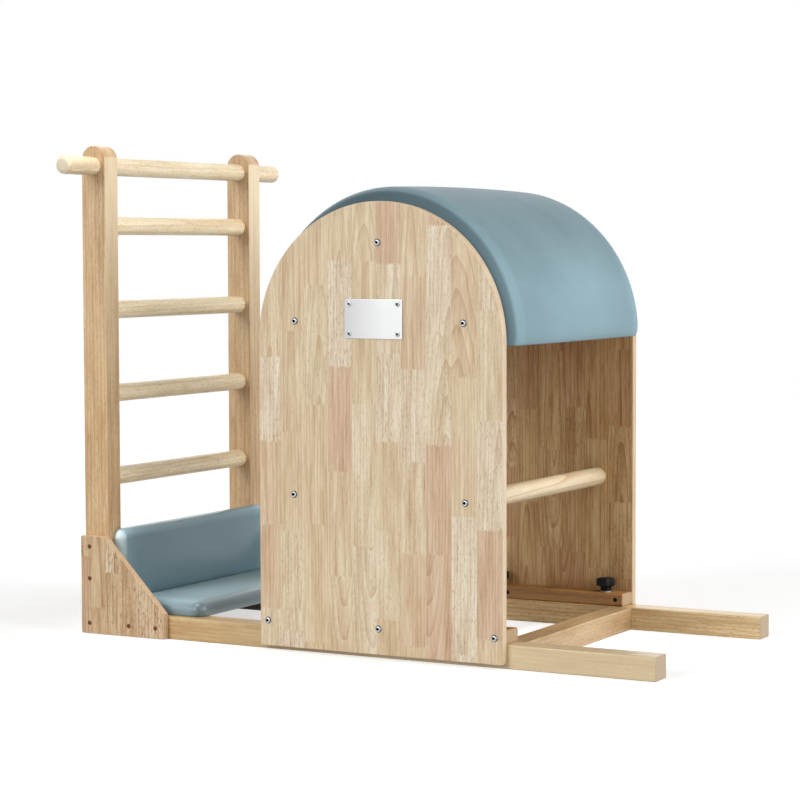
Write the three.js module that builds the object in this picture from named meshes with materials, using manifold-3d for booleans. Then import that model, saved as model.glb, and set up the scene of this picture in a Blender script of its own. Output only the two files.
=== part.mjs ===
// Pilates ladder barrel: a padded barrel that slides on a base frame with a five-bar ladder and a low seat.
// Millimetres. +X runs along the rails away from the ladder, +Y to the user's left, +Z up.
// The origin is on the floor under the middle of the base frame.

import * as THREE from 'three';
import { mergeVertices } from 'three/addons/utils/BufferGeometryUtils.js';
import Module from 'manifold-3d';

const wasm = await Module();
wasm.setup();

// Clearances
const gap = 0.3;
const slideGap = 0.5;
const boreClearance = 0.5;
const overrun = 2;

// Base frame: two long rails with a tenoned cross rail near each end
// Shares are of the width, height and length of the timber that a tenon is cut on or enters.
const railLength = 1286;
const railWidth = 51;
const railHeight = 47;
const frameWidth = 606;
const crossRailWidth = 51;
const crossRailAhead = 20.5;
const rearCrossInset = 4;
const tenonThicknessShare = 1 / 3;
const tenonWidthShare = 0.65;
const crossTenonShare = 0.31;
const footTenonShare = 0.47;
const timberEase = 1.5;
const timberCorner = 3;

// Ladder
const ladderHeight = 1015;
const uprightDepth = 58;
const uprightInset = 4;
const barRadius = 19;
const handleLength = 820;
const handleDrop = 42;
const handleRound = 9;
const handleToRung = 123;
const lowestRungHeight = 325;
const rungCount = 4;
const rungBite = 24;

// Gussets: boards screwed outside each upright and rail
const gussetLength = 206;
const gussetHeight = 204;
const gussetTopLength = 59;
const gussetNoseHeight = 52;
const gussetThickness = 16;
const gussetLift = 1.5;

// Seat and back pad
const padInset = 18;
const seatDepth = 192;
const seatThickness = 32.5;
const backThickness = 27;
const backHeight = 171.5;
const padBoardThickness = 9;
const coverWrap = 8;
const cushionRoll = 11;
const cushionCorner = 12;
const cushionCrown = 2.5;
const cushionDrawIn = 1.5;
const battenWidth = 40;
const battenHeight = 22;
const battenInset = 8;

// Barrel: side panels, cleats and crossbars
const panelWidth = 540;
const panelHeight = 884;
const panelLift = 9;
const panelThickness = 18;
const panelEase = 2;
const panelCorner = 4;
const seatToBarrel = 163;
const cleatHeight = 26.5;
const cleatInset = 1;
const slotInner = 30;
const slotInset = 50;
const slotClearance = 0.75;
const crossbarHeight = 316;
const cleatScrewInset = 18;
const screwLineInset = 80;
const sleeveRadius = 4.9;
const sleeveDepth = 31;

// Barrel: padded top
const formerThickness = 18;
const formerInset = 22;
const drumDrop = 7;
const shellThickness = 8;
const padProud = 14;
const padTopProud = 28;
const padSideGap = 1.5;
const padEdgeRoll = 12;
const padCrown = 2;
const edgeBattenWidth = 30;
const edgeBattenHeight = 40;
const edgeBattenInset = 2.5;
const formerScrewAngles = [11, 90, 169];

// Cap screws that hold each side panel
const screwRadius = 3;
const screwLength = 45;
const screwHeadRadius = 7;
const screwHeadHeight = 3.5;
const screwHeadTopShare = 0.83;
const socketRadius = 2.5;
const socketDepth = 2.5;

// Name plate, left bare
const plateLength = 128;
const plateHeight = 77;
const plateThickness = 1.5;
const plateOffset = -8.5;
const plateRise = 42;
const plateCorner = 3;

// Clamp knobs: a lobed head on a stud that screws into an insert in the rail
const knobRadius = 20.5;
const knobLobeDepth = 4;
const knobLobes = 5;
const knobHeadHeight = 17;
const knobEase = 2.5;
const knobBossRadius = 11.5;
const knobBossHeight = 10;
const washerRadius = 12.5;
const washerThickness = 1.6;
const studRadius = 4;
const studInRail = 22;
const insertRadius = 6;
const insertLength = 19;

// Numbers of facets
const barSides = 24;
const studSides = 12;
const screwSides = 10;
const archSteps = 44;
const drumSteps = 30;
const cornerSteps = 3;
const pointsPerLobe = 6;
const seatSideSteps = 6;
const seatEndSteps = 4;
const weldTolerance = 1e-4;

// Places worked out from the sizes above
const rearEnd = -railLength / 2;
const uprightThickness = railWidth - uprightInset;
const railOuter = frameWidth / 2;
const railInner = railOuter - railWidth;
const railMiddle = railOuter - railWidth / 2;
const uprightFront = rearEnd + uprightDepth;
const uprightMiddle = rearEnd + uprightDepth / 2;
const uprightInner = railOuter - uprightThickness;
const uprightCentre = railOuter - uprightThickness / 2;
const rearCrossMiddle = rearEnd + rearCrossInset + crossRailWidth / 2;
const railTop = railHeight + gap;
const handleHeight = ladderHeight - handleDrop;
const topRungHeight = handleHeight - handleToRung;
const padLength = frameWidth - 2 * padInset;
const backFace = uprightFront + gap + backThickness;
const seatFront = backFace + gap + seatDepth;
const panelHalf = panelWidth / 2;
const barrelCentre = seatFront + seatToBarrel + panelHalf;
const frontCrossMiddle = barrelCentre + panelHalf + crossRailAhead - crossRailWidth / 2;
const archCentre = panelLift + panelHeight - panelHalf;
const panelInner = railOuter + slideGap;
const panelOuter = panelInner + panelThickness;
const drumHalf = panelInner - gap;
const drumBase = archCentre - drumDrop;
const formerRadius = panelHalf - formerInset;
const padHalfWidth = panelHalf + padProud;
const padRise = panelHalf + padTopProud;
const shellInner = formerRadius + gap;
const shellOuter = shellInner + shellThickness;
const cleatTop = railTop + cleatHeight;
const cleatInner = drumHalf - railWidth;
const slotOuter = panelHalf - slotInset;
const screwLine = panelHalf - screwLineInset;
const sides = [{ name: 'right', sign: -1 }, { name: 'left', sign: 1 }];

const at = (x, y, z) => new THREE.Vector3(x, y, z);
const radians = THREE.MathUtils.degToRad;

// A closed geometry becomes a solid: its shared corners are merged and empty triangles left out.
function solid(geometry) {
  const bare = new THREE.BufferGeometry();
  bare.setAttribute('position', geometry.getAttribute('position'));
  bare.setIndex(geometry.getIndex());
  const welded = mergeVertices(bare, weldTolerance);
  const index = welded.getIndex().array;
  const triangles = [];
  for (let i = 0; i < index.length; i += 3) {
    const [a, b, c] = index.slice(i, i + 3);
    if (a !== b && b !== c && c !== a) triangles.push(a, b, c);
  }
  const vertProperties = new Float32Array(welded.getAttribute('position').array);
  const triVerts = new Uint32Array(triangles);
  return new wasm.Manifold(new wasm.Mesh({ numProp: 3, vertProperties, triVerts }));
}

const cut = (body, tools) => tools.reduce((left, tool) => left.subtract(tool), body);

// A solid becomes a named mesh with its own material.
function piece(name, body, finish) {
  const { vertProperties, triVerts } = body.getMesh();
  const geometry = new THREE.BufferGeometry();
  geometry.setAttribute('position', new THREE.BufferAttribute(vertProperties, 3));
  geometry.setIndex(new THREE.BufferAttribute(triVerts, 1));
  geometry.computeVertexNormals();
  const mesh = new THREE.Mesh(geometry, new THREE.MeshStandardMaterial(finish));
  mesh.name = name;
  return mesh;
}

// Finishes
const laminate = { color: 0xd9bf95, roughness: 0.5, metalness: 0 };
const timberWood = { color: 0xdcb983, roughness: 0.5, metalness: 0 };
const plywood = { color: 0xc9a878, roughness: 0.7, metalness: 0 };
const upholstery = { color: 0x8ba1a9, roughness: 0.45, metalness: 0 };
const darkWood = { color: 0x2a211d, roughness: 0.7, metalness: 0 };
const chrome = { color: 0xd4d6d8, roughness: 0.2, metalness: 1 };
const brushedSteel = { color: 0xc9cccd, roughness: 0.35, metalness: 1 };
const blackPlastic = { color: 0x17181a, roughness: 0.45, metalness: 0 };

// Outlines, anticlockwise, as lists of points
function arc(x, y, radius, from, to, steps) {
  const points = [];
  for (let i = 0; i <= steps; i += 1) {
    const angle = radians(from + ((to - from) * i) / steps);
    points.push(new THREE.Vector2(x + radius * Math.cos(angle), y + radius * Math.sin(angle)));
  }
  return points;
}

function rectangle(width, height, corner, steps) {
  const x = width / 2 - corner;
  const y = height / 2 - corner;
  return [
    ...arc(x, -y, corner, -90, 0, steps),
    ...arc(x, y, corner, 0, 90, steps),
    ...arc(-x, y, corner, 90, 180, steps),
    ...arc(-x, -y, corner, 180, 270, steps),
  ];
}

// A board with a half-round top, standing on y = 0.
function archOutline(width, height, corner, steps) {
  const half = width / 2;
  return [
    ...arc(-half + corner, corner, corner, 180, 270, 1),
    ...arc(half - corner, corner, corner, -90, 0, 1),
    ...arc(0, height - half, half, 0, 180, steps),
  ];
}

// An outline given a thickness, with its edges eased, from z = 0 up.
function slab(points, thickness, ease) {
  const geometry = new THREE.ExtrudeGeometry(new THREE.Shape(points), {
    depth: thickness - 2 * ease,
    bevelEnabled: ease > 0,
    bevelThickness: ease,
    bevelSize: ease,
    bevelOffset: -ease,
    bevelSegments: 1,
  });
  return geometry.translate(0, 0, ease);
}

// The same slab stood up on edge, from its inner face outwards on one side of the object.
function standingBoard(points, thickness, ease, inner, sign) {
  const outwards = sign < 0 ? 0 : thickness;
  return slab(points, thickness, ease).rotateX(Math.PI / 2).translate(0, sign * inner + outwards, 0);
}

// A planed timber that lies along x or y and fills a box, with eased edges.
function timber(box, along) {
  const size = {};
  const middle = {};
  for (const axis of ['x', 'y', 'z']) {
    size[axis] = Math.abs(box[axis][1] - box[axis][0]);
    middle[axis] = (box[axis][0] + box[axis][1]) / 2;
  }
  const width = along === 'x' ? size.y : size.x;
  const section = rectangle(width, size.z, timberCorner, 1);
  const geometry = slab(section, size[along], timberEase);
  geometry.translate(0, 0, -size[along] / 2).rotateX(-Math.PI / 2);
  if (along === 'x') geometry.rotateZ(Math.PI / 2);
  return solid(geometry.translate(middle.x, middle.y, middle.z));
}

function block(box) {
  const size = ['x', 'y', 'z'].map((axis) => Math.abs(box[axis][1] - box[axis][0]));
  const middle = ['x', 'y', 'z'].map((axis) => (box[axis][0] + box[axis][1]) / 2);
  return solid(new THREE.BoxGeometry(...size).translate(...middle));
}

const grown = (box, by) => Object.fromEntries(Object.entries(box).map(([axis, [low, high]]) => {
  const outwards = by * Math.sign(high - low);
  return [axis, [low - outwards, high + outwards]];
}));

// Geometry made along +Y is turned to point along a direction and moved to a place.
function aimed(geometry, place, direction) {
  const turn = new THREE.Quaternion().setFromUnitVectors(at(0, 1, 0), direction);
  return geometry.applyQuaternion(turn).translate(place.x, place.y, place.z);
}

function rod(start, end, radius, count) {
  const along = end.clone().sub(start);
  const length = along.length();
  const geometry = new THREE.CylinderGeometry(radius, radius, length, count).translate(0, length / 2, 0);
  return solid(aimed(geometry, start, along.normalize()));
}

// An upright rod on the axis x = y = 0.
const post = (bottom, top, radius, count) => rod(at(0, 0, bottom), at(0, 0, top), radius, count);

function turned(profile, count) {
  return new THREE.LatheGeometry(profile.map(([r, y]) => new THREE.Vector2(r, y)), count);
}

// Stacked rings of equally many points, bottom first, closed by a fan at each end.
function lofted(rings) {
  const count = rings[0].length;
  const points = rings.flat();
  const index = [];
  for (let level = 0; level + 1 < rings.length; level += 1) {
    for (let i = 0; i < count; i += 1) {
      const a = level * count + i;
      const b = level * count + ((i + 1) % count);
      index.push(a, b, b + count, a, b + count, a + count);
    }
  }
  for (const level of [0, rings.length - 1]) {
    const hub = rings[level].reduce((sum, point) => sum.add(point), at(0, 0, 0)).divideScalar(count);
    points.push(hub);
    for (let i = 0; i < count; i += 1) {
      const a = level * count + i;
      const b = level * count + ((i + 1) % count);
      index.push(points.length - 1, ...(level > 0 ? [a, b] : [b, a]));
    }
  }
  const geometry = new THREE.BufferGeometry().setFromPoints(points);
  geometry.setIndex(index);
  return geometry;
}

// Base frame

const knobPlaces = (sign) => [
  { name: 'front', x: barrelCentre + slotOuter, y: sign * railMiddle },
  { name: 'rear', x: barrelCentre - slotInner, y: sign * railMiddle },
];

// The stub tenon at one end of a cross rail.
function crossTenon(middle, sign) {
  const halfThickness = (crossRailWidth * tenonThicknessShare) / 2;
  const halfHeight = (railHeight * tenonWidthShare) / 2;
  return {
    x: [middle - halfThickness, middle + halfThickness],
    y: [sign * (railInner - overrun), sign * (railInner + railWidth * crossTenonShare)],
    z: [railHeight / 2 - halfHeight, railHeight / 2 + halfHeight],
  };
}

// The stub tenon at an upright's foot.
function footTenon(sign) {
  const halfThickness = (uprightThickness * tenonThicknessShare) / 2;
  const halfDepth = (uprightDepth * tenonWidthShare) / 2;
  return {
    x: [uprightMiddle - halfDepth, uprightMiddle + halfDepth],
    y: [sign * (uprightCentre - halfThickness), sign * (uprightCentre + halfThickness)],
    z: [railHeight * (1 - footTenonShare), railHeight + overrun],
  };
}

function insertHole({ x, y }) {
  const top = railHeight + overrun;
  const wide = post(railHeight - insertLength - 2 * gap, top, insertRadius + gap, studSides);
  const deep = post(railHeight - studInRail - overrun, top, studRadius + boreClearance, studSides);
  return wide.add(deep).translate([x, y, 0]);
}

function rail({ name, sign }) {
  const box = { x: [rearEnd, -rearEnd], y: [sign * railInner, sign * railOuter], z: [0, railHeight] };
  const tenons = [crossTenon(frontCrossMiddle, sign), crossTenon(rearCrossMiddle, sign), footTenon(sign)];
  return piece(`${name}_rail`, cut(timber(box, 'x'), [
    ...tenons.map((tenon) => block(grown(tenon, gap))),
    ...knobPlaces(sign).map(insertHole),
  ]), timberWood);
}

function crossRail(name, middle) {
  const half = crossRailWidth / 2;
  const reach = railInner - gap;
  const body = timber({ x: [middle - half, middle + half], y: [-reach, reach], z: [0, railHeight] }, 'y');
  const [right, left] = sides.map(({ sign }) => block(crossTenon(middle, sign)));
  return piece(name, body.add(right).add(left), timberWood);
}

function railInsert(sideName, place) {
  const sleeve = post(0, insertLength, insertRadius, studSides);
  const thread = post(-overrun, insertLength + overrun, studRadius + boreClearance, studSides);
  const mesh = piece(`rail_insert_${place.name}_${sideName}`, sleeve.subtract(thread), brushedSteel);
  mesh.position.set(place.x, place.y, railHeight - gap - insertLength);
  return mesh;
}

function baseFrame() {
  return [
    ...sides.map(rail),
    crossRail('front_cross_rail', frontCrossMiddle),
    crossRail('rear_cross_rail', rearCrossMiddle),
    ...sides.flatMap(({ name, sign }) => knobPlaces(sign).map((place) => railInsert(name, place))),
  ];
}

// Ladder

const rungPitch = (topRungHeight - lowestRungHeight) / (rungCount - 1);
const rungHeight = (number) => topRungHeight - rungPitch * (number - 1);
const rungNumbers = Array.from({ length: rungCount }, (_, i) => i + 1);

function upright({ name, sign }) {
  const outline = archOutline(uprightDepth, ladderHeight - railTop, timberCorner, archSteps / 4);
  const board = standingBoard(outline, uprightThickness, timberEase, uprightInner, sign);
  const body = solid(board.translate(uprightMiddle, 0, railTop)).add(block(footTenon(sign)));
  const bore = (height, reach) => rod(
    at(uprightMiddle, sign * (uprightInner - overrun), height), at(uprightMiddle, sign * reach, height),
    barRadius + gap, barSides,
  );
  return piece(`${name}_upright`, cut(body, [
    bore(handleHeight, railOuter + overrun),
    ...rungNumbers.map((number) => bore(rungHeight(number), uprightInner + rungBite)),
  ]), timberWood);
}

function rung(number) {
  const reach = uprightInner + rungBite - gap;
  const body = rod(at(0, -reach, 0), at(0, reach, 0), barRadius, barSides);
  const mesh = piece(`rung_${number}`, body, timberWood);
  mesh.position.set(uprightMiddle, 0, rungHeight(number));
  return mesh;
}

// A round bar with its ends rounded over.
function topHandle() {
  const half = handleLength / 2;
  const end = arc(barRadius - handleRound, half - handleRound, handleRound, 0, 90, cornerSteps);
  const profile = [
    [0, -half], ...end.toReversed().map(({ x, y }) => [x, -y]), ...end.map(({ x, y }) => [x, y]), [0, half],
  ];
  const mesh = piece('top_handle', solid(turned(profile, barSides)), timberWood);
  mesh.position.set(uprightMiddle, 0, handleHeight);
  return mesh;
}

function gusset({ name, sign }) {
  const points = [
    [0, 0], [gussetLength, 0], [gussetLength, gussetNoseHeight],
    [gussetTopLength, gussetHeight], [0, gussetHeight],
  ].map(([x, y]) => new THREE.Vector2(x, y));
  const board = standingBoard(points, gussetThickness, timberEase, railOuter + gap, sign);
  return piece(`${name}_gusset`, solid(board.translate(rearEnd, 0, gussetLift)), laminate);
}

const ladder = () => [...sides.map(upright), topHandle(), ...rungNumbers.map(rung), ...sides.map(gusset)];

// Seat and back pad: a board in the underside of a foam cushion whose cover wraps round it

// One side of a cushion's outline between two corners, drawn in towards its middle.
function drawnSide(from, to, drawIn, steps) {
  const inwards = new THREE.Vector2(from.y - to.y, to.x - from.x).normalize();
  const points = [];
  for (let i = 1; i < steps; i += 1) {
    const share = i / steps;
    points.push(from.clone().lerp(to, share).addScaledVector(inwards, drawIn * Math.sin(Math.PI * share)));
  }
  return points;
}

function cushionOutline(length, depth, corner, drawIn) {
  const corners = rectangle(length, depth, corner, cornerSteps);
  const perCorner = cornerSteps + 1;
  const outline = [];
  for (let start = 0; start < corners.length; start += perCorner) {
    const end = start + perCorner;
    const steps = (start / perCorner) % 2 ? seatSideSteps : seatEndSteps;
    outline.push(...corners.slice(start, end));
    outline.push(...drawnSide(corners[end - 1], corners[end % corners.length], drawIn, steps));
  }
  return outline;
}

// A boxed cushion lying on z = 0: rolled top edges, sides drawn in between the corners, and a crowned top.
function cushion(length, depth, thickness) {
  const ring = (inset, height, drawIn) => {
    const corner = Math.max(cushionCorner - inset, cushionCorner / 4);
    const outline = cushionOutline(length - 2 * inset, depth - 2 * inset, corner, drawIn);
    return outline.map((point) => at(point.x, point.y, height));
  };
  const side = thickness - cushionCrown - cushionRoll;
  const tuck = cushionRoll / 4;
  const rings = [ring(tuck, 0, 0), ring(0, tuck, cushionDrawIn / 2), ring(0, side, cushionDrawIn)];
  for (const angle of [30, 60, 90]) {
    const inset = cushionRoll * (1 - Math.cos(radians(angle)));
    rings.push(ring(inset, side + cushionRoll * Math.sin(radians(angle)), cushionDrawIn));
  }
  const flat = depth / 2 - cushionRoll;
  for (const share of [0.3, 0.65, 0.95]) {
    const rise = cushionCrown * (1 - (1 - share) ** 2);
    rings.push(ring(cushionRoll + flat * share, side + cushionRoll + rise, 0));
  }
  return lofted(rings);
}

function padPieces(name, length, depth, thickness) {
  const board = {
    x: [coverWrap - length / 2, length / 2 - coverWrap],
    y: [coverWrap - depth / 2, depth / 2 - coverWrap],
    z: [0, padBoardThickness],
  };
  const recess = grown(board, gap);
  recess.z[0] = -overrun;
  return [
    piece(`${name}_board`, block(board), plywood),
    piece(`${name}_cushion`, solid(cushion(length, depth, thickness)).subtract(block(recess)), upholstery),
  ];
}

function seat() {
  const group = new THREE.Group();
  group.position.set(seatFront - seatDepth / 2, 0, railTop);
  group.rotation.z = Math.PI / 2;
  group.add(...padPieces('seat', padLength, seatDepth, seatThickness));
  return group;
}

// The back pad stands on the rails with its board against the uprights.
function backPad() {
  const group = new THREE.Group();
  group.position.set(uprightFront + gap, 0, railTop + backHeight / 2);
  const turn = new THREE.Matrix4().makeBasis(at(0, 1, 0), at(0, 0, 1), at(1, 0, 0));
  group.quaternion.setFromRotationMatrix(turn);
  group.add(...padPieces('back', padLength, backHeight, backThickness));
  return group;
}

function seatBatten() {
  const half = battenWidth / 2;
  const rear = rearCrossMiddle + crossRailWidth / 2 + gap;
  const top = railTop - gap;
  const box = { x: [rear, seatFront - battenInset], y: [-half, half], z: [top - battenHeight, top] };
  return piece('seat_batten', timber(box, 'x'), darkWood);
}

// Barrel, in a group of its own whose x = 0 is the middle of the side panels

const formerScrews = formerScrewAngles.map((angle) => ({
  x: screwLine * Math.cos(radians(angle)),
  z: archCentre + screwLine * Math.sin(radians(angle)),
}));
const crossbarScrews = [-screwLine, screwLine].map((x) => ({ x, z: crossbarHeight }));
const cleatMiddle = railTop + cleatHeight / 2;
const cleatScrewReach = panelHalf - cleatScrewInset;
const cleatScrews = [-cleatScrewReach, 0, cleatScrewReach].map((x) => ({ x, z: cleatMiddle }));
const panelScrews = [...formerScrews, ...crossbarScrews, ...cleatScrews];

// The hole that runs in from the panel's outer face for each screw.
function screwHoles(places, sign) {
  return places.map(({ x, z }) => rod(
    at(x, sign * (panelOuter + overrun), z), at(x, sign * (panelOuter - screwLength - boreClearance), z),
    screwRadius + boreClearance, screwSides,
  ));
}

function sidePanel({ name, sign }) {
  const outline = archOutline(panelWidth, panelHeight, panelCorner, archSteps);
  const board = standingBoard(outline, panelThickness, panelEase, panelInner, sign);
  const body = solid(board.translate(0, 0, panelLift));
  return piece(`${name}_side_panel`, cut(body, screwHoles(panelScrews, sign)), laminate);
}

// A screw with a domed head and a socket, its head's seat just off the panel.
function capScrew(name, { x, z }, sign) {
  const profile = [
    [0, -screwLength], [screwRadius, -screwLength], [screwRadius, 0], [screwHeadRadius, 0],
    [screwHeadRadius * screwHeadTopShare, screwHeadHeight], [socketRadius, screwHeadHeight],
    [socketRadius, screwHeadHeight - socketDepth], [0, screwHeadHeight - socketDepth],
  ];
  const body = solid(aimed(turned(profile, screwSides), at(0, 0, 0), at(0, sign, 0)));
  const mesh = piece(name, body, chrome);
  mesh.position.set(x, sign * (panelOuter + gap), z);
  return mesh;
}

const capScrews = ({ name, sign }) =>
  panelScrews.map((place, i) => capScrew(`${name}_cap_screw_${i + 1}`, place, sign));

// A slot with round ends, cut down through the cleat from one stud position to the other.
function slot(from, to, y) {
  const radius = studRadius + slotClearance;
  const steps = studSides / 2;
  const outline = [...arc(to, 0, radius, -90, 90, steps), ...arc(from, 0, radius, 90, 270, steps)];
  return solid(slab(outline, cleatHeight + 2 * overrun, 0).translate(0, y, railTop - overrun));
}

// A bored socket in the cleat's inner face for the sleeve nut of each screw.
function sleeveHoles(sign) {
  const [mouth, end] = [cleatInner - overrun, cleatInner + sleeveDepth];
  return cleatScrews.map(({ x, z }) => rod(at(x, sign * mouth, z), at(x, sign * end, z), sleeveRadius, studSides));
}

function cleat({ name, sign }) {
  const half = panelHalf - cleatInset;
  const box = { x: [-half, half], y: [sign * cleatInner, sign * drumHalf], z: [railTop, cleatTop] };
  return piece(`${name}_cleat`, cut(timber(box, 'x'), [
    slot(slotInner, slotOuter, sign * railMiddle),
    slot(-slotOuter, -slotInner, sign * railMiddle),
    ...screwHoles(cleatScrews, sign),
    ...sleeveHoles(sign),
  ]), timberWood);
}

function crossbar(name, x) {
  const body = rod(at(x, -drumHalf, crossbarHeight), at(x, drumHalf, crossbarHeight), barRadius, barSides);
  return piece(name, cut(body, sides.flatMap(({ sign }) => screwHoles(crossbarScrews, sign))), timberWood);
}

// The padded top is a half drum: arched formers, a bent shell over them, and a foam pad under its cover.

function edgeBattenBox(sign) {
  const outer = formerRadius - edgeBattenInset;
  const reach = drumHalf - formerThickness - gap;
  return {
    x: [sign * (outer - edgeBattenWidth), sign * outer],
    y: [-reach, reach],
    z: [drumBase, drumBase + edgeBattenHeight],
  };
}

function formerBody(inner, sign) {
  const outline = archOutline(2 * formerRadius, formerRadius + drumDrop, timberEase, drumSteps);
  return solid(standingBoard(outline, formerThickness, 0, inner, sign).translate(0, 0, drumBase));
}

const endFormer = ({ name, sign }) => {
  const body = formerBody(drumHalf - formerThickness, sign);
  return piece(`${name}_former`, cut(body, screwHoles(formerScrews, sign)), plywood);
};

// The middle former is notched at its two lower corners, where the edge battens pass.
function middleFormer() {
  const notches = sides.map(({ sign }) => {
    const notch = grown(edgeBattenBox(sign), gap);
    notch.x[1] = sign * (formerRadius + overrun);
    return block(notch);
  });
  return piece('middle_former', cut(formerBody(-formerThickness / 2, 1), notches), plywood);
}

const edgeBatten = (name, sign) => piece(name, timber(edgeBattenBox(sign), 'y'), timberWood);

function barrelShell() {
  const outline = [
    new THREE.Vector2(shellOuter, -drumDrop), ...arc(0, 0, shellOuter, 0, 180, drumSteps),
    new THREE.Vector2(-shellOuter, -drumDrop), new THREE.Vector2(-shellInner, -drumDrop),
    ...arc(0, 0, shellInner, 180, 0, drumSteps), new THREE.Vector2(shellInner, -drumDrop),
  ];
  const body = slab(outline, 2 * drumHalf, 0).rotateX(Math.PI / 2).translate(0, drumHalf, archCentre);
  return piece('barrel_shell', solid(body), plywood);
}

// The pad's cross-section at one station: flat on the shell, rolled over at both ends, crowned between.
function padSection(thickness) {
  const half = drumHalf - padSideGap;
  const roll = Math.min(padEdgeRoll, thickness / 2);
  const corner = arc(half - roll, thickness - roll, roll, 0, 90, cornerSteps);
  const crown = [0.5, 0, -0.5].map((share) =>
    new THREE.Vector2(share * half, thickness + padCrown * (1 - share * share)));
  return [
    new THREE.Vector2(padSideGap - half, 0), new THREE.Vector2(half - padSideGap, 0), ...corner,
    ...crown, ...corner.toReversed().map(({ x, y }) => new THREE.Vector2(-x, y)),
  ];
}

// The angles of the pad's stations, closer together where it rolls over at its two lower edges.
function padStations(drop) {
  const sweep = Math.PI + 2 * drop;
  const rollAngles = [0, 0.12, 0.4, 1].map((share) => (share * padEdgeRoll) / padHalfWidth);
  const edge = rollAngles.at(-1);
  const between = Array.from({ length: drumSteps - 1 }, (_, i) => (sweep * (i + 1)) / drumSteps)
    .filter((angle) => angle > edge && angle < sweep - edge);
  return [...rollAngles, ...between, ...rollAngles.toReversed().map((angle) => sweep - angle)]
    .map((angle) => ({ angle: angle - drop, fromEdge: Math.min(angle, sweep - angle) * padHalfWidth }));
}

// The pad follows an ellipse a little taller than the shell's circle.
function barrelCushion() {
  const inner = shellOuter + gap;
  const rings = padStations(Math.asin(drumDrop / padRise)).map(({ angle, fromEdge }) => {
    const stretch = Math.hypot(padRise * Math.cos(angle), padHalfWidth * Math.sin(angle));
    const reach = (padHalfWidth * padRise) / stretch;
    const lostShare = Math.max(0, 1 - fromEdge / padEdgeRoll);
    const thickness = reach - inner - padEdgeRoll * (1 - Math.sqrt(1 - lostShare * lostShare));
    return padSection(thickness).map(({ x, y }) =>
      at((inner + y) * Math.cos(angle), -x, archCentre + (inner + y) * Math.sin(angle)));
  });
  return piece('barrel_cushion', solid(lofted(rings)), upholstery);
}

function namePlate() {
  const outline = rectangle(plateLength, plateHeight, plateCorner, cornerSteps);
  const plate = standingBoard(outline, plateThickness, 0, panelOuter + gap, -1);
  const mesh = piece('name_plate', solid(plate), brushedSteel);
  mesh.position.set(plateOffset, 0, archCentre + plateRise);
  return mesh;
}

function barrel() {
  const group = new THREE.Group();
  group.position.x = barrelCentre;
  group.add(
    ...sides.map(sidePanel), ...sides.map(cleat), ...sides.flatMap(capScrews),
    crossbar('front_crossbar', screwLine), crossbar('rear_crossbar', -screwLine),
    ...sides.map(endFormer), middleFormer(),
    edgeBatten('front_edge_batten', 1), edgeBatten('rear_edge_batten', -1),
    barrelShell(), barrelCushion(), namePlate(),
  );
  return group;
}

// Clamp knobs

// Lobes: the radius dips between them by a cosine.
function lobedOutline() {
  const count = knobLobes * pointsPerLobe;
  return Array.from({ length: count }, (_, i) => {
    const angle = (2 * Math.PI * i) / count;
    const radius = knobRadius - (knobLobeDepth * (1 - Math.cos(knobLobes * angle))) / 2;
    return new THREE.Vector2(radius * Math.cos(angle), radius * Math.sin(angle));
  });
}

function knob(name) {
  const bottom = washerThickness + gap;
  const headBottom = bottom + knobBossHeight;
  const head = solid(slab(lobedOutline(), knobHeadHeight, knobEase).translate(0, 0, headBottom));
  const boss = post(bottom, headBottom + overrun, knobBossRadius, barSides);
  const tip = railHeight - studInRail - (cleatTop + gap);
  const stud = post(tip, bottom + overrun, studRadius, studSides);
  return piece(name, head.add(boss).add(stud), blackPlastic);
}

function washer(name) {
  const hole = post(-overrun, washerThickness + overrun, studRadius + boreClearance, studSides);
  return piece(name, post(0, washerThickness, washerRadius, barSides).subtract(hole), brushedSteel);
}

function clampKnob(sideName, place) {
  const group = new THREE.Group();
  group.position.set(place.x, place.y, cleatTop + gap);
  group.add(knob(`knob_${place.name}_${sideName}`), washer(`washer_${place.name}_${sideName}`));
  return group;
}

const clampKnobs = () => sides.flatMap(({ name, sign }) =>
  knobPlaces(sign).map((place) => clampKnob(name, place)));

const ladderBarrel = new THREE.Group();
ladderBarrel.add(...baseFrame(), ...ladder(), seat(), backPad(), seatBatten(), ...clampKnobs(), barrel());

export default ladderBarrel;
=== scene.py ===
# Pilates ladder barrel: the look of every piece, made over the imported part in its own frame.
# Metres. +X runs along the rails away from the ladder, +Y to the user's left, +Z up.

import math

import bpy
import numpy as np
from mathutils import Matrix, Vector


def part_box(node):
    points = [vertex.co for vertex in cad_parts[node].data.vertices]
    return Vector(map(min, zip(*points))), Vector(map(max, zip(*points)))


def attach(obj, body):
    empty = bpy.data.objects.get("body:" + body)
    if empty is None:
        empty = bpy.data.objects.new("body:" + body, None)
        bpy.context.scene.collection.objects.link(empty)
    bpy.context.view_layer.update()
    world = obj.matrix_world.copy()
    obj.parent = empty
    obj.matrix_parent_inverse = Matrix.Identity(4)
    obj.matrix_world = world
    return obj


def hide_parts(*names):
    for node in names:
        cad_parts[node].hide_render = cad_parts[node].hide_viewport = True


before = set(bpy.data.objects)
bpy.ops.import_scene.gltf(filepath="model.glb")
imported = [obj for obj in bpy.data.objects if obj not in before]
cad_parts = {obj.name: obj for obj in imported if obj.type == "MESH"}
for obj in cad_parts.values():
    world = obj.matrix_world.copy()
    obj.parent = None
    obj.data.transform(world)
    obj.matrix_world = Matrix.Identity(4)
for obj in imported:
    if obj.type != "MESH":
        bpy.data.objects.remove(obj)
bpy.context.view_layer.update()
mm = 0.001


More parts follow.
